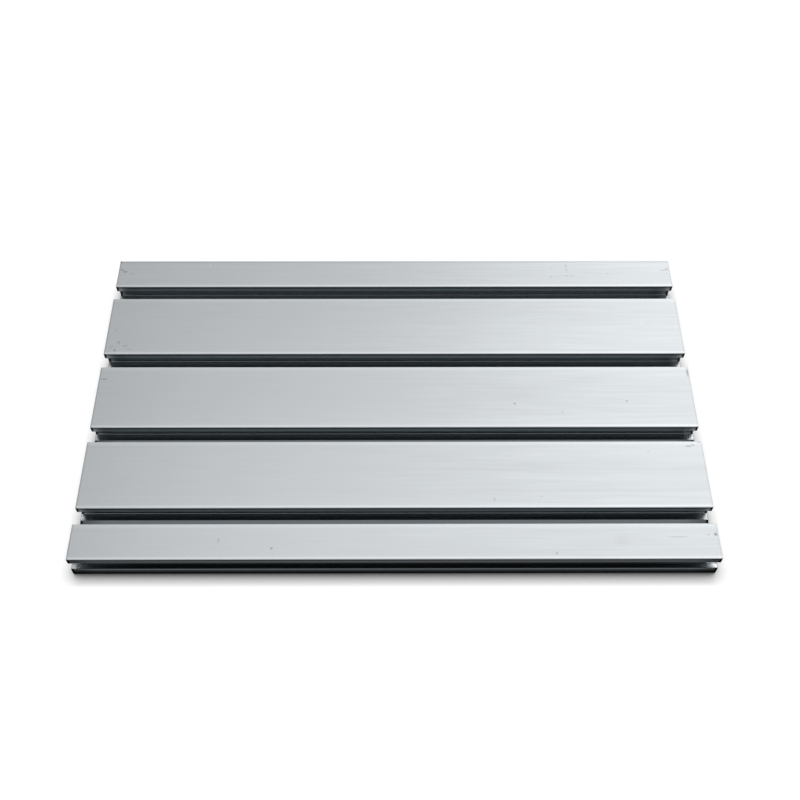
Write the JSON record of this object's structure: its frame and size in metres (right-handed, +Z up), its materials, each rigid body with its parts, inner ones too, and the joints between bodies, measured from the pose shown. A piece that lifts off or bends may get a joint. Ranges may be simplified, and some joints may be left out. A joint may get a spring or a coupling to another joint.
{
  "type": "aluminium extrusion profile",
  "caption": "Flat aluminium T-slot plate profile, sawn square to length, with parallel clamping slots along its top and a nut slot in each long edge.",
  "frame": {"origin": "middle of the underside, on the surface that the plate lies on", "axes": "+X along the slots and the sawn length, +Y across the slots, +Z up towards the slotted face"},
  "size_m": [0.3, 0.18, 0.015],
  "materials": {
    "anodised_aluminium": "satin clear anodised, with fine die lines along the length"
  },
  "bodies": {
    "root": {"t_slot_profile": "anodised_aluminium"}
  },
  "joints": []
}
